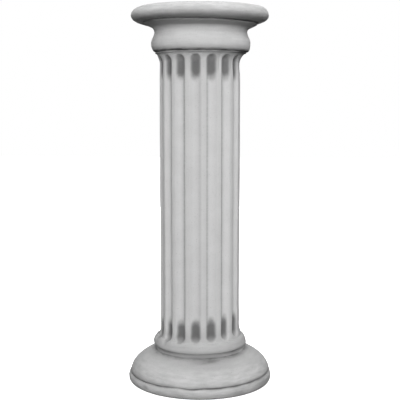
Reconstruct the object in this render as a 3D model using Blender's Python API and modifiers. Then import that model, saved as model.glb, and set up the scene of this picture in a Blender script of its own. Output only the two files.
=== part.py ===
"""A cast stone column: round top plate, moulded capital, fluted shaft and domed round base.

The column is one casting. Its outline is turned about the Z axis, and the flutes are then cut
into the shaft. Lengths are in metres, +Z is up, and the origin is the centre of the underside.
"""
import math

import bpy

COLUMN_HEIGHT = 0.800

# The shaft, and the flutes in it. A flute's depth is taken from the shaft's surface.
SHAFT_RADIUS = 0.0857
FLUTE_COUNT = 16
RIB_WIDTH = 0.0128
FLUTE_DEPTH = 0.0058
FLUTE_TOP_GAP = 0.0053
FLUTE_FOOT_GAP = 0.0010

# The capital from the top down. Each radius stands out from the shaft or the neck.
PLATE_OVERHANG = 0.0470
PLATE_TOP_INSET = 0.0155
PLATE_EDGE_RISE = 0.0165
PLATE_EDGE_DROP = 0.0150
PLATE_UNDER_INSET = 0.0250
FILLET_HEIGHT = 0.0030
CAVETTO_HEIGHT = 0.0155
CAVETTO_FULLNESS = 1.55
NECK_PROJECTION = 0.0123
ECHINUS_PROJECTION = 0.0193
ECHINUS_RISE = 0.0225
ECHINUS_DROP = 0.0187
COLLAR_PROJECTION = 0.0118
COLLAR_HEIGHT = 0.0223

# The foot of the shaft: a hollow flare, and the ring that it turns over into.
FLARE_PROJECTION = 0.0053
FLARE_HEIGHT = 0.0262
RING_PROJECTION = 0.0148
RING_SHOULDER = 0.0155
RING_ROLL = 0.0021
RING_UNDERCUT = 0.0025
COVE_DEPTH = 0.0045
COVE_HEIGHT = 0.0105

# The base from the cove down: part of an ellipse for the dome, then a rounded band.
DOME_PROJECTION = 0.0500
DOME_HALF_WIDTH = 0.1870
DOME_HALF_HEIGHT = 0.0710
DOME_CENTRE_DROP = 0.0025
BAND_HEIGHT = 0.0230
BAND_PROJECTION = 0.0040
BAND_GIRTH_HEIGHT = 0.0095
BAND_FOOT_INSET = 0.0055

# The scored lines under the echinus and above the band are V-shaped.
SCORE_WIDTH = 0.0030
SCORE_DEPTH = 0.0026

STEPS_PER_FLUTE = 4
CURVE_STEPS = 4
DOME_STEPS = 7
CUTTER_STEPS = 16
MERGE_DISTANCE = 0.0001
SHARP_ANGLE = math.radians(32)

STONE_COLOUR = (0.60, 0.60, 0.59, 1.0)
STONE_ROUGHNESS = 0.92


def quarter(start, end, level_first, steps=CURVE_STEPS, fullness=2.0):
    """Quarter of an ellipse from start to end, which leaves start level or upright.

    A fullness of 2 gives a true ellipse, and a lower one a flatter curve.
    """
    points = []
    for step in range(1, steps + 1):
        turn = math.pi / 2 * step / steps
        fading = max(math.cos(turn), 0.0) ** (2 / fullness)
        growing = math.sin(turn) ** (2 / fullness)
        if level_first:
            radius = start[0] + (end[0] - start[0]) * growing
            height = end[1] + (start[1] - end[1]) * fading
        else:
            radius = end[0] + (start[0] - end[0]) * fading
            height = start[1] + (end[1] - start[1]) * growing
        points.append((radius, height))
    return points


def swell(start, end, steps=CURVE_STEPS + 1):
    """Gentle S from start to end, upright at both, as half a cosine wave."""
    points = []
    for step in range(1, steps + 1):
        share = step / steps
        lean = (1 - math.cos(math.pi * share)) / 2
        points.append((start[0] + (end[0] - start[0]) * lean, start[1] + (end[1] - start[1]) * share))
    return points


def score(corner):
    """V-shaped line cut straight in below a corner of the outline."""
    radius, height = corner
    return [(radius - SCORE_DEPTH, height - SCORE_WIDTH / 2), (radius, height - SCORE_WIDTH)]


def capital_outline():
    """Outline from the middle of the top down to the upright side of the shaft."""
    neck_radius = SHAFT_RADIUS + NECK_PROJECTION
    plate_radius = neck_radius + PLATE_OVERHANG
    echinus_radius = SHAFT_RADIUS + ECHINUS_PROJECTION
    collar_radius = SHAFT_RADIUS + COLLAR_PROJECTION

    points = [(0.0, COLUMN_HEIGHT), (plate_radius - PLATE_TOP_INSET, COLUMN_HEIGHT)]
    plate_girth = (plate_radius, COLUMN_HEIGHT - PLATE_EDGE_RISE)
    points += quarter(points[-1], plate_girth, level_first=True)
    plate_under = (plate_radius - PLATE_UNDER_INSET, plate_girth[1] - PLATE_EDGE_DROP)
    points += quarter(plate_girth, plate_under, level_first=False)
    fillet_foot = (plate_under[0], plate_under[1] - FILLET_HEIGHT)
    points.append(fillet_foot)
    neck = (neck_radius, fillet_foot[1] - CAVETTO_HEIGHT)
    points += quarter(fillet_foot, neck, level_first=True, fullness=CAVETTO_FULLNESS)
    echinus_girth = (echinus_radius, neck[1] - ECHINUS_RISE)
    points += swell(neck, echinus_girth)
    echinus_foot = (collar_radius, echinus_girth[1] - ECHINUS_DROP)
    points += quarter(echinus_girth, echinus_foot, level_first=False)
    points += score(echinus_foot)
    shaft_top = (SHAFT_RADIUS, points[-1][1] - COLLAR_HEIGHT)
    points += quarter(points[-1], shaft_top, level_first=True, steps=CURVE_STEPS + 1)
    return points


def base_outline():
    """Outline from the foot of the upright shaft down to the middle of the underside."""
    ring_radius = SHAFT_RADIUS + RING_PROJECTION
    cove_radius = ring_radius - COVE_DEPTH
    dome_middle = (ring_radius + DOME_PROJECTION - DOME_HALF_WIDTH, BAND_HEIGHT - DOME_CENTRE_DROP)
    dome_start = math.acos((cove_radius - dome_middle[0]) / DOME_HALF_WIDTH)
    dome_end = math.asin(DOME_CENTRE_DROP / DOME_HALF_HEIGHT)

    dome = []
    for step in range(DOME_STEPS + 1):
        turn = dome_start + (dome_end - dome_start) * step / DOME_STEPS
        dome.append((dome_middle[0] + DOME_HALF_WIDTH * math.cos(turn),
                     dome_middle[1] + DOME_HALF_HEIGHT * math.sin(turn)))

    cove_top = dome[0][1] + COVE_HEIGHT
    ring_girth = (ring_radius, cove_top + RING_ROLL)
    shoulder = (SHAFT_RADIUS + FLARE_PROJECTION, ring_girth[1] + RING_SHOULDER)
    shaft_foot = (SHAFT_RADIUS, shoulder[1] + FLARE_HEIGHT)

    points = [shaft_foot]
    points += quarter(shaft_foot, shoulder, level_first=False)
    points += quarter(shoulder, ring_girth, level_first=True)
    points += [(ring_radius - RING_UNDERCUT, cove_top), (cove_radius, cove_top)]
    points += dome
    points += score(dome[-1])
    band_girth = (dome[-1][0] + BAND_PROJECTION, BAND_GIRTH_HEIGHT)
    points += quarter(points[-1], band_girth, level_first=True, steps=CURVE_STEPS - 1)
    band_foot = (band_girth[0] - BAND_FOOT_INSET, 0.0)
    points += quarter(band_girth, band_foot, level_first=False, steps=CURVE_STEPS - 1)
    points.append((0.0, 0.0))
    return points, shoulder[1]


def make_collection(name):
    collection = bpy.data.collections.new(name)
    bpy.context.scene.collection.children.link(collection)
    return collection


def make_outline_mesh(name, outline):
    """Mesh of the outline's edges, in the XZ plane."""
    mesh = bpy.data.meshes.new(name)
    vertices = [(radius, 0.0, height) for radius, height in outline]
    edges = [(index, index + 1) for index in range(len(vertices) - 1)]
    mesh.from_pydata(vertices, edges, [])
    return mesh


def turn_outline(turned, steps):
    """Turn an object's outline a full circle about its Z axis."""
    screw = turned.modifiers.new("Turned outline", "SCREW")
    screw.steps = steps
    screw.render_steps = steps
    screw.use_merge_vertices = True
    screw.merge_threshold = MERGE_DISTANCE


def flute_cutters(collection, outline_top, outline_foot):
    """Round-ended bars that stand around the shaft, one for each flute."""
    pitch = 2 * math.pi * SHAFT_RADIUS / FLUTE_COUNT
    half_width = (pitch - RIB_WIDTH) / 2
    arris_distance = math.sqrt(SHAFT_RADIUS ** 2 - half_width ** 2)
    rise = arris_distance - (SHAFT_RADIUS - FLUTE_DEPTH)
    bar_radius = (half_width ** 2 + rise ** 2) / (2 * rise)
    bar_distance = SHAFT_RADIUS - FLUTE_DEPTH + bar_radius

    bar_top = outline_top - FLUTE_TOP_GAP
    bar_foot = outline_foot + FLUTE_FOOT_GAP
    bar = [(0.0, bar_top)]
    bar += quarter(bar[-1], (bar_radius, bar_top - bar_radius), level_first=True)
    bar.append((bar_radius, bar_foot + bar_radius))
    bar += quarter(bar[-1], (0.0, bar_foot), level_first=False)
    mesh = make_outline_mesh("flute_cutter", bar)

    for index in range(FLUTE_COUNT):
        angle = 2 * math.pi * index / FLUTE_COUNT - math.pi / 2
        cutter = bpy.data.objects.new(f"flute_cutter_{index + 1:02d}", mesh)
        cutter.location = (bar_distance * math.cos(angle), bar_distance * math.sin(angle), 0.0)
        cutter.rotation_euler = (0.0, 0.0, angle)
        cutter.hide_render = True
        cutter.display_type = "WIRE"
        collection.objects.link(cutter)
        turn_outline(cutter, CUTTER_STEPS)


def stone_material():
    stone = bpy.data.materials.new("cast_stone")
    stone.use_nodes = True
    shader = stone.node_tree.nodes["Principled BSDF"]
    shader.inputs["Base Color"].default_value = STONE_COLOUR
    shader.inputs["Roughness"].default_value = STONE_ROUGHNESS
    shader.inputs["Metallic"].default_value = 0.0
    return stone


def build_column(parts, cutters):
    """The whole casting: turned outline, with the flutes cut into it."""
    capital = capital_outline()
    base, shoulder_height = base_outline()
    column = bpy.data.objects.new("column", make_outline_mesh("column", capital + base))
    parts.objects.link(column)
    turn_outline(column, STEPS_PER_FLUTE * FLUTE_COUNT)

    collar_top = capital[-1][1] + COLLAR_HEIGHT
    flute_cutters(cutters, collar_top, shoulder_height)
    flutes = column.modifiers.new("Flutes", "BOOLEAN")
    flutes.operation = "DIFFERENCE"
    flutes.operand_type = "COLLECTION"
    flutes.collection = cutters
    flutes.solver = "EXACT"

    depsgraph = bpy.context.evaluated_depsgraph_get()
    casting = bpy.data.meshes.new_from_object(column.evaluated_get(depsgraph))
    column.modifiers.clear()
    column.data = casting
    casting.name = "column"
    casting.shade_smooth()
    casting.set_sharp_from_angle(angle=SHARP_ANGLE)
    casting.materials.clear()
    casting.materials.append(stone_material())


for leftover in list(bpy.data.objects):
    bpy.data.objects.remove(leftover)

build_column(make_collection("cast_stone_column"), make_collection("cutters"))
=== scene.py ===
"""Cast stone column: the finished look of the casting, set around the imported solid."""
import math

import bpy
import numpy as np
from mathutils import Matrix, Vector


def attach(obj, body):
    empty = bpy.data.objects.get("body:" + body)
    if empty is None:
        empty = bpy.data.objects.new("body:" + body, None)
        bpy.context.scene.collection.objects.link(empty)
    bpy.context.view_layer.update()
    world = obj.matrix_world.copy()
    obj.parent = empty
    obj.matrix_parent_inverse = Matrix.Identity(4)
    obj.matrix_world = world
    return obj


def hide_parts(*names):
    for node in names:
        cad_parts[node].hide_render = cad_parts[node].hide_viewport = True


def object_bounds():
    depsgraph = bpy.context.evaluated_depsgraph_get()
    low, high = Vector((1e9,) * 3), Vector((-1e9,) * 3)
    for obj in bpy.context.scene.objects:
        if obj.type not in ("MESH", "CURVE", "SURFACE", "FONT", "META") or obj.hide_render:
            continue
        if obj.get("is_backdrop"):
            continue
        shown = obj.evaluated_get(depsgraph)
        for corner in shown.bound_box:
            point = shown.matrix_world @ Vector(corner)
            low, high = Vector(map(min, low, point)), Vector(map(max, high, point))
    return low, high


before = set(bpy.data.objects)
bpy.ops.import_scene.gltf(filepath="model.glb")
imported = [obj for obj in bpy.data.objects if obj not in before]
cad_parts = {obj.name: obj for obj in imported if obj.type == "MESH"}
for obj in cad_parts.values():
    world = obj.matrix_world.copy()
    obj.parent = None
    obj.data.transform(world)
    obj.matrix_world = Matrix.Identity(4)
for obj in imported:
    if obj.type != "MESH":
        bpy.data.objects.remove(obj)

solid_low, solid_high = (list(corner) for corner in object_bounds())


# The view. A long lens a little above the middle of the column, 1.85 m away and tilted down, so
# that the top plate is seen from below and the base from above. It stands 6 degrees to the right.

VIEW_TURN = math.radians(6.3)
VIEW_DISTANCE = 1.85
VIEW_HEIGHT = 0.596
VIEW_TILT = math.radians(6.25)
FOCAL_PIXELS = 861.4
IMAGE_WIDTH = 400
SENSOR_WIDTH = 36.0

camera_data = bpy.data.cameras.new("camera")
camera_data.sensor_width = SENSOR_WIDTH
camera_data.lens = FOCAL_PIXELS / IMAGE_WIDTH * SENSOR_WIDTH
camera = bpy.data.objects.new("camera", camera_data)
camera.location = (VIEW_DISTANCE * math.sin(VIEW_TURN), -VIEW_DISTANCE * math.cos(VIEW_TURN), VIEW_HEIGHT)
camera.rotation_euler = (math.pi / 2 - VIEW_TILT, 0, VIEW_TURN)
bpy.context.scene.collection.objects.link(camera)
bpy.context.scene.camera = camera


# The casting's outline. The real column is one piece of pale cast stone, and every corner of its
# mouldings has come out of the mould a little soft. Its outline runs from the middle of the top,
# round the plate, down the capital, shaft, ring and dome, to the middle of the underside.

COLUMN_HEIGHT = solid_high[2] - solid_low[2]
SHAFT_RADIUS = 0.0857
NECK_RADIUS = 0.0980
PLATE_RADIUS = 0.1450
PLATE_TOP_INSET = 0.0155
PLATE_FULLNESS = 1.9
FILLET_RADIUS = 0.1200
ECHINUS_RADIUS = 0.1050
COLLAR_RADIUS = 0.0975
FLARE_RADIUS = 0.0910
RING_RADIUS = 0.1010
COVE_RADIUS = 0.0960
DOME_HALF_WIDTH = 0.1875
DOME_HALF_HEIGHT = 0.071
DOME_END_TURN = 0.0352
SCORE_WIDTH = 0.0030
SCORE_DEPTH = 0.0026
CORNER_SOFTNESS = 0.0007
OUTLINE_STEP = 0.00025


def quarter(start, end, level_first, fullness=2.0, steps=60):
    """Quarter of an ellipse from start to end, which leaves the start level.

    The radius goes over by the sine of the turn and the height by its cosine, each to the power
    2 / fullness, for a turn from 0 to 90 degrees. With level_first false the two change places.
    """
    turn = np.linspace(0, np.pi / 2, steps)
    fading = np.clip(np.cos(turn), 0, 1) ** (2 / fullness)
    growing = np.sin(turn) ** (2 / fullness)
    if level_first:
        return np.c_[start[0] + (end[0] - start[0]) * growing, end[1] + (start[1] - end[1]) * fading]
    return np.c_[end[0] + (start[0] - end[0]) * fading, start[1] + (end[1] - start[1]) * growing]


def swell(start, end, steps=60):
    """Gentle S from start to end: the height goes evenly and the radius as half a cosine wave."""
    share = np.linspace(0, 1, steps)
    lean = (1 - np.cos(np.pi * share)) / 2
    return np.c_[start[0] + (end[0] - start[0]) * lean, start[1] + (end[1] - start[1]) * share]


def bend(start, corner, end, steps=40):
    """Curve from start to end, drawn towards a corner.

    It is (1 - t) squared of the start, 2 t (1 - t) of the corner and t squared of the end, for t
    from 0 to 1.
    """
    t = np.linspace(0, 1, steps)[:, None]
    return (1 - t) ** 2 * np.array(start) + 2 * t * (1 - t) * np.array(corner) + t ** 2 * np.array(end)


def score(corner):
    """V cut straight in below a corner: in by its depth at half its width, and out again."""
    foot = (corner[0], corner[1] - SCORE_WIDTH)
    return np.array([corner, (corner[0] - SCORE_DEPTH, corner[1] - SCORE_WIDTH / 2), foot])


plate_top_edge = (PLATE_RADIUS - PLATE_TOP_INSET, COLUMN_HEIGHT)
plate_girth = (PLATE_RADIUS, COLUMN_HEIGHT - 0.0165)
plate_under = (FILLET_RADIUS, COLUMN_HEIGHT - 0.0315)
soffit_top = (FILLET_RADIUS, COLUMN_HEIGHT - 0.0345)
soffit_foot = (0.1025, COLUMN_HEIGHT - 0.0420)
neck_corner = (0.0990, COLUMN_HEIGHT - 0.0437)
neck = (NECK_RADIUS, COLUMN_HEIGHT - 0.0500)
echinus_girth = (ECHINUS_RADIUS, COLUMN_HEIGHT - 0.0725)
echinus_foot = (COLLAR_RADIUS, COLUMN_HEIGHT - 0.0912)
collar_top = (COLLAR_RADIUS, echinus_foot[1] - SCORE_WIDTH)
shaft_top = (SHAFT_RADIUS, COLUMN_HEIGHT - 0.1165)
shaft_foot = (SHAFT_RADIUS, 0.1250)
ring_shoulder = (FLARE_RADIUS, 0.0988)
ring_girth = (RING_RADIUS, 0.0814)
ring_foot = (RING_RADIUS - 0.0020, 0.0797)
dome_middle = (-0.0365, 0.0205)
dome_start_turn = math.acos((COVE_RADIUS - dome_middle[0]) / DOME_HALF_WIDTH)
dome_turns = np.linspace(dome_start_turn, DOME_END_TURN, 120)
dome = np.c_[dome_middle[0] + DOME_HALF_WIDTH * np.cos(dome_turns),
             dome_middle[1] + DOME_HALF_HEIGHT * np.sin(dome_turns)]
groove = tuple(dome[-1])
band_top = (groove[0], groove[1] - SCORE_WIDTH)
band_girth = (0.1549, 0.0082)
band_foot = (0.1489, 0.0)

corners = np.vstack([
    [(0.0, COLUMN_HEIGHT)],
    quarter(plate_top_edge, plate_girth, True, PLATE_FULLNESS),
    quarter(plate_girth, plate_under, False)[1:],
    [soffit_top],
    bend(soffit_foot, neck_corner, neck),
    swell(neck, echinus_girth)[1:],
    quarter(echinus_girth, echinus_foot, False)[1:],
    score(echinus_foot)[1:],
    quarter(collar_top, shaft_top, True)[1:],
    quarter(shaft_foot, ring_shoulder, False),
    quarter(ring_shoulder, ring_girth, True)[1:],
    quarter(ring_girth, ring_foot, False)[1:],
    [(COVE_RADIUS, ring_foot[1])],
    dome,
    score(groove)[1:],
    quarter(band_top, band_girth, True)[1:],
    quarter(band_girth, band_foot, False)[1:],
    [(0.0, 0.0)],
])


def along(points):
    """Distance along a line: the running sum of the steps from point to point."""
    return np.r_[0, np.cumsum(np.hypot(*np.diff(points, axis=0).T))]


def soften(points, reach, step=OUTLINE_STEP):
    """Points at even steps, each the mean of its neighbours, which count by a bell of the given reach."""
    length = along(points)
    even = np.linspace(0, length[-1], int(length[-1] / step))
    line = np.c_[np.interp(even, length, points[:, 0]), np.interp(even, length, points[:, 1])]
    count = int(4 * reach / step)
    weight = np.exp(-0.5 * (np.arange(-count, count + 1) * step / reach) ** 2)
    weight /= weight.sum()
    ends = np.r_[np.zeros(count, int), np.arange(len(line)), np.full(count, len(line) - 1)]
    soft = np.c_[np.convolve(line[ends, 0], weight, "valid"), np.convolve(line[ends, 1], weight, "valid")]
    soft[[0, -1]] = points[[0, -1]]
    return soft


outline = soften(corners, CORNER_SOFTNESS)


# The sixteen flutes. Each is hollowed with a round-ended bar and has edges worn soft, and their
# feet climb a little from left to right. The mesh has its rows along the outline, closer together
# where it bends and at the ends of the flutes, and its columns round it, thirty-six to a flute.

FLUTE_COUNT = 16
RIB_WIDTH = 0.0128
FLUTE_DEPTH = 0.0058
FLUTE_TOP = 0.7005
FLUTE_FOOT = 0.0990
FLUTE_FOOT_CLIMB = 0.0040
ARRIS_SOFTNESS = 0.0033
COLUMNS_PER_FLUTE = 36
ROW_COUNT = 168
ROWS_PER_METRE = 60
ROWS_PER_METRE_ON_TOP = 12
ROWS_PER_RADIAN_OF_BEND = 1.1
SHARPEST_BEND = 900
ROWS_PER_METRE_AT_FLUTE_END = 900
FLUTE_END_REACH = 0.012
PLAIN_TOP_RADIUS = 0.12


def ease(low, high, value):
    """Smooth step: 3 x squared less 2 x cubed, with x going from 0 at low to 1 at high."""
    share = np.clip((value - low) / (high - low), 0, 1)
    return share * share * (3 - 2 * share)


def bell(value, middle, reach):
    """Bell of height 1: e to the power of minus the square of the distance in reaches."""
    return np.exp(-((value - middle) / reach) ** 2)


def spaced_rows(line, count):
    """Places along a line that share out evenly the need for rows.

    The need at a point is so many rows a metre, more by its bend in radians a metre and by a bell
    about each end of the flutes, and few where the top and the underside are plain.
    """
    length = along(line)
    heading = np.unwrap(np.arctan2(np.gradient(line[:, 1]), np.gradient(line[:, 0])))
    turning = np.minimum(np.abs(np.gradient(heading, length)), SHARPEST_BEND)
    on_shaft = line[:, 0] < FLARE_RADIUS + 0.003
    at_ends = on_shaft * (bell(line[:, 1], FLUTE_TOP - 0.0080, FLUTE_END_REACH)
                          + bell(line[:, 1], FLUTE_FOOT + 0.0088, FLUTE_END_REACH))
    need = ROWS_PER_METRE + ROWS_PER_RADIAN_OF_BEND * turning + ROWS_PER_METRE_AT_FLUTE_END * at_ends
    level = (line[:, 1] > COLUMN_HEIGHT - 0.001) | (line[:, 1] < 0.001)
    need[level & (line[:, 0] < PLAIN_TOP_RADIUS)] = ROWS_PER_METRE_ON_TOP
    total = np.r_[0, np.cumsum((need[1:] + need[:-1]) / 2 * np.diff(length))]
    return np.interp(np.linspace(0, total[-1], count), total, length), length


rows, outline_length = spaced_rows(outline, ROW_COUNT + 2)
rows = rows[1:-1]
tangent = np.c_[np.gradient(outline[:, 0]), np.gradient(outline[:, 1])]
tangent /= np.hypot(*tangent.T)[:, None]
row_r, row_z, normal_r, normal_z = (np.interp(rows, outline_length, values)[:, None] for values in
                                    (outline[:, 0], outline[:, 1], -tangent[:, 1], tangent[:, 0]))

# The bearing goes from -180 to 180 degrees, with 0 at the side that faces the camera.
column_count = FLUTE_COUNT * COLUMNS_PER_FLUTE
around = 2 * np.pi * np.arange(column_count)[None, :] / column_count
bearing = (around + math.pi / 2 - VIEW_TURN + math.pi) % (2 * math.pi) - math.pi
degrees = np.degrees(bearing)
sideways = np.sin(bearing)
facing = np.maximum(np.cos(bearing), 0)

pitch = 2 * np.pi / FLUTE_COUNT
flute_turn = (around + np.pi / 2 + pitch / 2) % pitch - pitch / 2
foot_level = FLUTE_FOOT + FLUTE_FOOT_CLIMB * np.sin(bearing - flute_turn)
half_flute = (pitch * SHAFT_RADIUS - RIB_WIDTH) / 2
arris_plane = math.sqrt(SHAFT_RADIUS ** 2 - half_flute ** 2)
sagitta = arris_plane - (SHAFT_RADIUS - FLUTE_DEPTH)
bar_radius = (half_flute ** 2 + sagitta ** 2) / (2 * sagitta)
bar_distance = SHAFT_RADIUS - FLUTE_DEPTH + bar_radius


def soft_min(a, b, reach):
    """Smaller of two surfaces, rounded where they cross.

    It is half of their sum less the root of their difference squared plus the reach squared.
    """
    return (a + b - np.sqrt((a - b) ** 2 + reach ** 2)) / 2


def bar_surface(turn, level):
    """Distance from the column's axis to the near side of the bar.

    It is d cos(turn) less the root of R squared less h squared less d squared sin squared(turn).
    R is the bar's radius, d its distance, and h how far the level lies into its round end. Past
    the bar's side the root is taken of the amount that is missing, and added.
    """
    h = np.maximum(level - FLUTE_TOP + bar_radius, 0) + np.maximum(foot_level + bar_radius - level, 0)
    square = bar_radius ** 2 - h ** 2 - (bar_distance * np.sin(turn)) ** 2
    return bar_distance * np.cos(turn) - np.sign(square) * np.sqrt(np.abs(square))


within_flutes = (ease(FLUTE_TOP + 0.010, FLUTE_TOP + 0.004, row_z)
                 * ease(foot_level - 0.010, foot_level - 0.004, row_z))
cut = (row_r - soft_min(row_r, bar_surface(flute_turn, row_z), ARRIS_SOFTNESS)) * within_flutes
depth_share = np.clip(cut / FLUTE_DEPTH, 0, 1)


# The hand-cast unevenness. The mould was not quite true: the capital sits a little to the right
# and the ring to the left, the mouldings are fuller on one side than on the other, the scored
# lines and lips run out of level, and the faces waver by a fraction of a millimetre.

WAVER = 0.00022
WAVER_LENGTH = 0.07
WAVE_COUNT = 26
MOST_WAVES_ROUND = 9
CAPITAL_SHIFT = 0.0018
RING_SHIFT = 0.0009

hand = np.random.default_rng(11)


def spots(*marks):
    """Sum of marks, each a size times a bell in bearing times a bell in height.

    A mark is its size, its bearing and reach in degrees, and its height and reach in metres.
    """
    return sum(size * bell(degrees, turn, wide) * bell(row_z, level, tall)
               for size, turn, wide, level, tall in marks)


def wavering(count, most_round, length, size):
    """Sum of waves over the column, over the root of their count and times the size.

    Each is the cosine of a whole number times the bearing, so that it closes round the column, and
    of so many waves along the outline, from a chance start.
    """
    total = 0
    for _ in range(count):
        waves_round = hand.integers(0, most_round)
        waves_along = hand.uniform(-1, 1) * 2 * np.pi / length
        start = hand.uniform(0, 2 * np.pi)
        total = total + np.cos(waves_round * around + waves_along * rows[:, None] + start)
    return size * total / math.sqrt(count)


# The shaft is fullest a little above mid-height and again over the ring, and slimmest under the
# capital.
entasis = (0.0005 * bell(row_z, 0.50, 0.16) - 0.0005 * bell(row_z, 0.68, 0.02)
           + 0.0005 * bell(row_z, 0.135, 0.020))
swelling = wavering(WAVE_COUNT, MOST_WAVES_ROUND, WAVER_LENGTH, WAVER) + entasis + spots(
    (0.0008, 80, 40, COLUMN_HEIGHT - 0.003, 0.004),    # the plate's top edge, full at the right
    (-0.0008, -60, 50, COLUMN_HEIGHT - 0.003, 0.004),  # and thin at the left
    (0.0008, -90, 40, 0.7860, 0.008),                  # the plate's side
    (0.0008, 90, 40, 0.7600, 0.005),                   # the foot of the soffit
    (0.0008, -90, 40, 0.7230, 0.006),                  # the round moulding, below its girth
    (0.0012, 90, 40, 0.7110, 0.004),                   # and at its foot
    (0.0014, -90, 40, 0.6980, 0.007),                  # the hollow under the scored line
    (-0.0012, 90, 50, 0.6790, 0.012),                  # the top of the shaft, thin at the right
    (0.0018, 90, 40, 0.1040, 0.008),                   # the flare over the ring
    (-0.0016, -90, 30, 0.0700, 0.010),                 # the cove, deeper at the left
    (0.0014, 90, 40, 0.0600, 0.022),                   # the dome
    (0.0014, -74, 30, 0.0140, 0.014),                  # the band
    (0.0010, 32, 26, 0.0040, 0.010))                   # and its foot

# What runs out of level: the plate's underside; the scored line over the band, which climbs to
# the right; the crease under the ring; then, as marks, the lips under the plate at each side and
# three small waves in the scored line.
fillet_error = -0.0008 + 0.0016 * np.cos(bearing) - 0.0013 * np.sin(2 * bearing)
groove_error = 0.0001 + 0.0019 * sideways
lift = (bell(row_z, COLUMN_HEIGHT - 0.033, 0.006) * fillet_error
        + bell(row_z, groove[1], 0.010) * ease(0, 0.012, row_z) * groove_error
        + 0.0012 * bell(row_z, 0.0800, 0.004) * sideways ** 2
        + spots((-0.0006, -90, 40, 0.7745, 0.003),
                (0.0040, -90, 40, 0.7640, 0.006),
                (0.0009, 90, 40, 0.7710, 0.004),
                (0.0006, 3, 7, groove[1], 0.004),
                (0.0012, -20, 8, groove[1], 0.004),
                (-0.0012, -7, 5, groove[1], 0.004)))

# The round moulding and the neck sit to the right, and the ring to the left.
shift = (CAPITAL_SHIFT * ease(0.690, 0.712, row_z) * ease(0.776, 0.752, row_z)
         - RING_SHIFT * bell(row_z, 0.088, 0.010))
near_ends = ease(0, 0.006, row_z) * ease(0, 0.001, COLUMN_HEIGHT - row_z)

final_r = row_r - cut + swelling * normal_r
final_x = final_r * np.cos(around) + shift * math.cos(VIEW_TURN)
final_y = final_r * np.sin(around) + shift * math.sin(VIEW_TURN)
final_z = row_z + near_ends * swelling * normal_z + lift

mesh = bpy.data.meshes.new("column_stone")
ring_points = np.stack([final_x, final_y, final_z], -1).reshape(-1, 3)
points = np.vstack([ring_points, [(0, 0, COLUMN_HEIGHT), (0, 0, 0)]])
grid = np.arange(ROW_COUNT * column_count).reshape(ROW_COUNT, column_count)
beside = np.roll(grid, -1, axis=1)
quads = np.stack([grid[:-1], grid[1:], beside[1:], beside[:-1]], -1).reshape(-1, 4)
top_fan = np.stack([np.full(column_count, len(ring_points)), grid[0], beside[0]], -1)
foot_fan = np.stack([np.full(column_count, len(ring_points) + 1), beside[-1], grid[-1]], -1)
mesh.from_pydata(points.tolist(), [], quads.tolist() + top_fan.tolist() + foot_fan.tolist())
mesh.shade_smooth()
column = bpy.data.objects.new("column_stone", mesh)
bpy.context.scene.collection.objects.link(column)


# Age, with painted light and shade. Dark staining has settled in both ends of every flute, up to about
# 48 mm from the end, and is lighter on the flute walls that face the front, as painted light. Dirt and
# painted shade fill the cove; painted shade darkens the lip under the plate, the scored line of the
# capital and the flutes' edges turned from the front; the scored line of the base is darker. The plate
# and the base have greyed all over, and painted light and shade lighten or darken parts of the capital,
# ribs, ring and band.

STAIN_REACH = 0.048
STAIN_BOW = 0.15
STAIN_FLOOR = 0.12

from_top = FLUTE_TOP - row_z
from_foot = row_z - foot_level
from_end = np.minimum(from_top, from_foot)
across = flute_turn * SHAFT_RADIUS / half_flute
upper = row_z > COLUMN_HEIGHT / 2

# The staining: how far inside a patch a point lies, how the patch fades at the flute's end, and
# how much the hollow holds, which is less on the flute walls that face the front, as painted light.
into_flute = np.minimum(from_top, from_foot - 0.003 * sideways + 0.001)
stain = 1 - STAIN_BOW * across ** 2 - into_flute / STAIN_REACH
fading_end = ease(-0.018, 0.018, from_top) * ease(-0.018, 0.020, from_foot)
both_sides = np.where(upper, 0.30 * (bearing < 0), 1.0) * bell(np.abs(degrees), 50, 12)
far_right = np.where(upper, 0.30, 0.0) * bell(degrees, 63, 9)
mid_right = np.where(upper, -0.30, 0.0) * bell(degrees, 38, 14)
# Painted light: at about 50 to 63 degrees to each side the stain is lighter on the flute walls that face
# the front, and near 38 degrees to the right it is moved across the flute.
painted_light_on_stain = (both_sides + far_right) * np.maximum(sideways * across, 0) + mid_right * across
hollow = (depth_share + STAIN_FLOOR - painted_light_on_stain) * within_flutes

# The skin's tone with painted light and shade, where 1 is the stone's own grey: first the plate and
# the capital, then the flutes and the ribs, and last the foot, the ring, the dome and the band.
# The plate and the soffit are darker all over, and a patch on the plate's front a little darker; painted
# light lightens the top of the neck, the right side of the soffit, and the collar under the scored line
# with its lip at the front.
capital_tone_and_light = (-0.18 * ease(COLUMN_HEIGHT - 0.0430, COLUMN_HEIGHT - 0.0405, row_z)
                + 0.07 * bell(row_z, COLUMN_HEIGHT - 0.0480, 0.005)
                + 0.10 * np.maximum(sideways, 0) * bell(row_z, COLUMN_HEIGHT - 0.0380, 0.005)
                + 0.12 * bell(row_z, echinus_foot[1] - 0.0062, 0.0026) * (row_r > 0.087)
                + spots((-0.07, -8, 22, COLUMN_HEIGHT - 0.0080, 0.005),
                        (0.16, 0, 45, echinus_foot[1] - 0.0040, 0.0010)))
# Painted light and shade on the shaft: the flute hollows are lighter towards the diagonals, the ribs
# darker where they face the front, and lighter at the front near the flute tops.
painted_light_on_shaft = (0.05 * depth_share * np.abs(np.sin(2 * bearing))
              - 0.04 * (1 - depth_share) * within_flutes * facing ** 2
              + (1 - depth_share) * spots((0.11, 0, 18, 0.6925, 0.006)))
# The dome is darker towards the front.
dome_darker_at_front = ease(0.0400, 0.0640, row_z) * ease(0.0830, 0.0800, row_z) * np.maximum(facing, 0.3) ** 2
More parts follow.
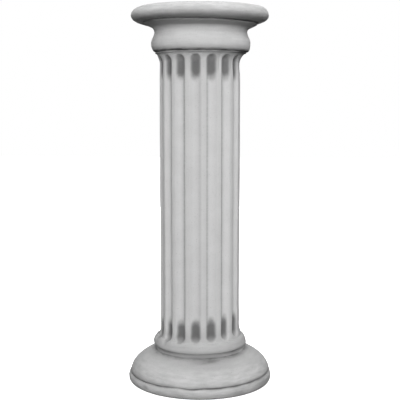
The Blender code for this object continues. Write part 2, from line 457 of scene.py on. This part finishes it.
# The foot, ring, dome and band are darker all over, the ring a little more; painted light lightens the
# ring's lower edge at the front, where it faces down, and the band's foot, as light thrown up from the
# floor.
foot_tone_and_light = (-0.25 * ease(0.1300, 0.0950, row_z)
             - 0.07 * bell(row_z, 0.0920, 0.009) * (row_r < 0.105)
             + 0.25 * bell(row_z, ring_foot[1], 0.0012) * facing ** 2
             - 0.20 * dome_darker_at_front
             + 0.14 * ease(0.0060, 0.0, row_z)
             + spots((-0.04, 14, 20, 0.0450, 0.020)))
# The tone, with its painted light and shade, as a factor on the stone's grey.
tone_and_painted_light = 1 + capital_tone_and_light + painted_light_on_shaft + foot_tone_and_light

# The dirt and painted shade: painted shade under the plate, in and about the scored line of the
# capital and along the flutes' edges on the side turned from the front; dirt and painted shade in
# the cove; darker in the scored line of the base; and dirt in spots.
# Painted shade under the plate, deeper at the right, and on the soffit.
painted_shade_under_plate = ((0.65 + 0.25 * sideways) * bell(row_z, plate_under[1] - 0.0003, 0.0018) * (row_r < 0.126)
               + 0.10 * ease(COLUMN_HEIGHT - 0.0430, COLUMN_HEIGHT - 0.0410, row_z)
               * (row_z < plate_under[1]) * (row_r < 0.1205))
# Painted shade in and about the scored line under the round moulding, wider at the sides and lighter at
# the front lip, with one darker spot.
painted_shade_at_capital_score = (0.85 * bell(row_z, echinus_foot[1] - 0.0006 - 0.0006 * sideways, 0.0032)
                 + 0.14 * bell(row_z, echinus_foot[1] + 0.0045, 0.0040)
                 + 0.35 * bell(row_z, echinus_foot[1] - 0.0040, 0.0030) * ease(0.6, 0.95, np.abs(sideways))
                 + spots((-0.30, 0, 45, echinus_foot[1] - 0.0040, 0.0010),
                         (0.18, -28, 16, echinus_foot[1] - 0.0022, 0.0010)))
# Painted shade along the flutes' edges on the side turned from the front.
painted_shade_on_flute_edges = (0.30 * bell(cut / FLUTE_DEPTH, 0.50, 0.28) * ease(0.05, -0.10, across * sideways)
                * ease(0.006, 0.026, from_end))
# Dirt and painted shade in the cove and along the crease under the ring, deeper at the sides, with a few
# lighter chips and darker patches just below the ring.
in_cove = ease(0.0800, 0.0786, row_z) * ease(0.0650, 0.0690, row_z) * (row_r < 0.112)
cove_dirt_and_shade = (in_cove * (0.12 + 0.46 * ease(0.0714, 0.0704, row_z))
             + 0.60 * bell(row_z, 0.0780, 0.0018) * (row_r < 0.102) * bell(np.abs(degrees), 55, 24)
             + spots((-0.26, -17, 8, 0.0695, 0.0030), (-0.40, -20, 3, 0.0745, 0.0012))
             + (row_r > 0.096) * spots((0.50, 8, 13, 0.0664, 0.0032), (0.16, 46, 12, 0.0700, 0.0050)))
base_score = ((0.72 - 0.45 * bell(degrees, -19, 8)) * bell(row_z, groove[1] - 0.0013, 0.0022)
              * (row_r > 0.14))
small_spots = (spots((0.40, -47, 2.5, 0.0120, 0.0035),
                     (0.22, 69, 9, 0.6850, 0.0150),
                     (0.18, -67, 6, 0.6800, 0.0160),
                     (0.25, 26.5, 1.2, 0.0895, 0.0014))
               + (row_r > 0.15) * spots((0.30, 58, 18, 0.0100, 0.0080), (0.38, 31, 8, 0.0100, 0.0060)))
dirt_and_shade = np.clip(painted_shade_under_plate + painted_shade_at_capital_score + painted_shade_on_flute_edges + cove_dirt_and_shade + base_score + small_spots, 0, 1)

# How much a point shows the marks of turning: faintly on the mouldings, fully on plate and band.
turned = 0.3 * ease(0.088, 0.096, row_r) + 0.7 * ease(0.126, 0.145, row_r)

for name, values in (("stain", stain), ("hollow", hollow), ("fading_end", fading_end),
                     ("dirt_and_shade", dirt_and_shade), ("tone_and_painted_light", tone_and_painted_light), ("turned", turned)):
    values = np.broadcast_to(values, grid.shape).ravel()
    layer = mesh.attributes.new(name, "FLOAT", "POINT")
    layer.data.foreach_set("value", np.r_[values, values[0], values[-1]].astype(np.float32))


# Cast stone. It is matt and even, a fine cement skin over sand: faint mottling, small dark pits
# where air was trapped, and a fine grain that shows only in raking light. The plate, the mouldings
# and the base also have faint level streaks and patches, from the turning of the pattern.

STONE_GREY = 0.605
STAIN_GREY = 0.165
# Grey of the dirt and of the painted shade.
DIRT_AND_SHADE_GREY = 0.13
STONE_ROUGHNESS = 0.92
STONE_SPECULAR_LEVEL = 0.25
PITS_PER_METRE = 150
RAGGEDNESS = 0.30
GRAIN_STRENGTH = 0.25
GRAIN_DEPTH = 0.0006

stone = bpy.data.materials.new("cast_stone")
stone.use_nodes = True
tree = stone.node_tree
shader = tree.nodes["Principled BSDF"]
shader.inputs["Roughness"].default_value = STONE_ROUGHNESS
shader.inputs["Specular IOR Level"].default_value = STONE_SPECULAR_LEVEL
place = tree.nodes.new("ShaderNodeTexCoord")


def put(value, socket):
    """Link a socket to another, or set it to a grey or a number."""
    if isinstance(value, bpy.types.NodeSocket):
        tree.links.new(value, socket)
    elif socket.type == "RGBA":
        socket.default_value = (value, value, value, 1)
    else:
        socket.default_value = value


def noise(scale, detail, stretch=(1, 1, 1), roughness=0.55):
    """Cloudy noise at the object's own place times the stretch and the scale.

    Each finer layer, as many as the detail says, counts by the roughness times the one before.
    """
    mapping = tree.nodes.new("ShaderNodeMapping")
    mapping.inputs["Scale"].default_value = stretch
    tree.links.new(place.outputs["Object"], mapping.inputs["Vector"])
    made = tree.nodes.new("ShaderNodeTexNoise")
    tree.links.new(mapping.outputs["Vector"], made.inputs["Vector"])
    made.inputs["Scale"].default_value = scale
    made.inputs["Detail"].default_value = detail
    made.inputs["Roughness"].default_value = roughness
    return made.outputs["Fac"]


def ramp(value, low, high, start=0.0, end=1.0):
    """Smooth step of a value, from start at low to end at high."""
    made = tree.nodes.new("ShaderNodeMapRange")
    made.interpolation_type = "SMOOTHSTEP"
    for number, name in ((value, "Value"), (low, "From Min"), (high, "From Max"),
                         (start, "To Min"), (end, "To Max")):
        put(number, made.inputs[name])
    return made.outputs["Result"]


def maths(operation, first, second):
    """Sum or product of two values, as the operation says."""
    made = tree.nodes.new("ShaderNodeMath")
    made.operation = operation
    put(first, made.inputs[0])
    put(second, made.inputs[1])
    return made.outputs["Value"]


def blend(share, first, second, kind="MIX"):
    """The first colour times 1 less the share, plus the share times the second.

    Where kind is MULTIPLY, the share is of the two colours' product instead.
    """
    made = tree.nodes.new("ShaderNodeMix")
    made.data_type = "RGBA"
    made.blend_type = kind
    put(share, made.inputs[0])
    put(first, made.inputs[6])
    put(second, made.inputs[7])
    return made.outputs[2]


def layer_value(name):
    """A layer's value at each point of the stone, as it was worked out above."""
    made = tree.nodes.new("ShaderNodeAttribute")
    made.attribute_name = name
    return made.outputs["Fac"]


# Each of these is a factor close to 1: broad mottling, grains of sand, pits, and on the turned
# parts long level streaks and shorter patches.
mottle = ramp(noise(30, 4), 0.3, 0.7, 0.97, 1.02)
speckle = ramp(noise(420, 3), 0.25, 0.50, 0.93, 1.0)
pits = tree.nodes.new("ShaderNodeTexVoronoi")
pits.inputs["Scale"].default_value = PITS_PER_METRE
tree.links.new(place.outputs["Object"], pits.inputs["Vector"])
pitting = ramp(pits.outputs["Distance"], 0.06, 0.12, 0.70, 1.0)
streaks = blend(maths("MULTIPLY", layer_value("turned"), 2.0), 1.0,
                ramp(noise(16, 4, stretch=(1, 1, 10)), 0.3, 0.7, 0.940, 1.055))
patches = blend(layer_value("turned"), 1.0,
                ramp(noise(45, 4, stretch=(1, 1, 4)), 0.3, 0.7, 0.915, 1.085))
texture = maths("MULTIPLY", maths("MULTIPLY", mottle, speckle), maths("MULTIPLY", streaks, pitting))
texture = maths("MULTIPLY", texture, patches)

# The stain's edge is torn by noise, and the dirt and painted shade are broken up along the lines that they
# lie in.
ragged = maths("ADD", maths("MULTIPLY", noise(60, 4), RAGGEDNESS), -RAGGEDNESS / 2)
stain_edge = ramp(maths("ADD", layer_value("stain"), ragged), -0.25, 0.25)
stain_edge = maths("MULTIPLY", stain_edge, layer_value("fading_end"))
stain_share = maths("MULTIPLY", stain_edge, ramp(layer_value("hollow"), -0.10, 1.10))
broken = ramp(noise(45, 5, stretch=(1, 1, 6)), 0.35, 0.62, 0.72, 1.22)
dirt_and_shade_share = maths("MULTIPLY", layer_value("dirt_and_shade"), broken)

# The stone's grey, darkened by the stain and then by the dirt and painted shade, times the texture and the
# tone with its painted light and shade.
colour = blend(dirt_and_shade_share, blend(stain_share, STONE_GREY, STAIN_GREY), DIRT_AND_SHADE_GREY)
colour = blend(1.0, colour, maths("MULTIPLY", texture, layer_value("tone_and_painted_light")), kind="MULTIPLY")
tree.links.new(colour, shader.inputs["Base Color"])

grain = tree.nodes.new("ShaderNodeBump")
grain.inputs["Strength"].default_value = GRAIN_STRENGTH
grain.inputs["Distance"].default_value = GRAIN_DEPTH
tree.links.new(noise(260, 6, roughness=0.6), grain.inputs["Height"])
tree.links.new(grain.outputs["Normal"], shader.inputs["Normal"])

mesh.materials.append(stone)
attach(column, "root")
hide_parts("column")


# The studio. The column stands on a plain white floor in front of plain white, in the broad, soft
# light of large lamps in front of it, at both sides, overhead and behind, and none from below.

FLOOR_HALF_WIDTH = 8.0
FLOOR_GREY = 0.9
FLOOR_GLOW = 0.95
LAMP_DISTANCE = 3.2
LAMP_SIZE = 1.6
ROOM_LIGHT = 0.285
WHITE = (1, 1, 1, 1)

floor_mesh = bpy.data.meshes.new("floor")
floor_mesh.from_pydata([(x * FLOOR_HALF_WIDTH, y * FLOOR_HALF_WIDTH, 0) for x, y in
                        ((-1, -1), (1, -1), (1, 1), (-1, 1))], [], [(0, 1, 2, 3)])
floor = bpy.data.objects.new("floor", floor_mesh)
floor_paint = bpy.data.materials.new("floor_paint")
floor_paint.use_nodes = True
floor_shader = floor_paint.node_tree.nodes["Principled BSDF"]
floor_shader.inputs["Base Color"].default_value = (FLOOR_GREY, FLOOR_GREY, FLOOR_GREY, 1)
floor_shader.inputs["Roughness"].default_value = 1.0
floor_shader.inputs["Emission Color"].default_value = WHITE
floor_shader.inputs["Emission Strength"].default_value = FLOOR_GLOW
floor_mesh.materials.append(floor_paint)
floor.visible_diffuse = False
floor.visible_glossy = False
bpy.context.scene.collection.objects.link(floor)
floor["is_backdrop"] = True

# The camera sees the room as plain white, and the column is lit by its upper half alone.
world = bpy.data.worlds.new("studio")
bpy.context.scene.world = world
world.use_nodes = True
sky = world.node_tree
backdrop = sky.nodes["Background"]
backdrop.inputs["Color"].default_value = WHITE
backdrop.inputs["Strength"].default_value = 1.0
room = sky.nodes.new("ShaderNodeBackground")
room.inputs["Color"].default_value = WHITE
direction = sky.nodes.new("ShaderNodeTexCoord")
heading = sky.nodes.new("ShaderNodeSeparateXYZ")
sky.links.new(direction.outputs["Generated"], heading.inputs["Vector"])
above = sky.nodes.new("ShaderNodeMapRange")
above.inputs["From Min"].default_value = 0.0
above.inputs["From Max"].default_value = 0.02
above.inputs["To Max"].default_value = ROOM_LIGHT
sky.links.new(heading.outputs["Z"], above.inputs["Value"])
sky.links.new(above.outputs["Result"], room.inputs["Strength"])
ray = sky.nodes.new("ShaderNodeLightPath")
choose = sky.nodes.new("ShaderNodeMixShader")
sky.links.new(ray.outputs["Is Camera Ray"], choose.inputs["Fac"])
sky.links.new(room.outputs["Background"], choose.inputs[1])
sky.links.new(backdrop.outputs["Background"], choose.inputs[2])
sky.links.new(choose.outputs["Shader"], sky.nodes["World Output"].inputs["Surface"])


def softbox(name, turn, climb, power):
    """Square lamp of so many watts, aimed at the middle of the column.

    It hangs a lamp's distance away, turned by so many degrees from the camera's side and raised by
    so many: across by the cosine of the climb, and up by its sine.
    """
    data = bpy.data.lights.new(name, "AREA")
    data.shape = "SQUARE"
    data.size = LAMP_SIZE
    data.energy = power
    lamp = bpy.data.objects.new(name, data)
    side = VIEW_TURN + math.radians(turn)
    up = math.radians(climb)
    reach = LAMP_DISTANCE * math.cos(up)
    lamp.location = (reach * math.sin(side), -reach * math.cos(side),
                     COLUMN_HEIGHT / 2 + LAMP_DISTANCE * math.sin(up))
    lamp.rotation_euler = (math.pi / 2 - up, 0, side)
    bpy.context.scene.collection.objects.link(lamp)


softbox("lamp_front", 3, 30, 44)
softbox("lamp_low", 0, 5, 40)
softbox("lamp_left", -75, 30, 18)
softbox("lamp_right", 75, 41, 30)
softbox("lamp_top_left", -60, 80, 26)
softbox("lamp_top_right", 60, 80, 19)
softbox("lamp_back", 180, 0, 40)

bpy.context.scene.view_settings.view_transform = "Standard"
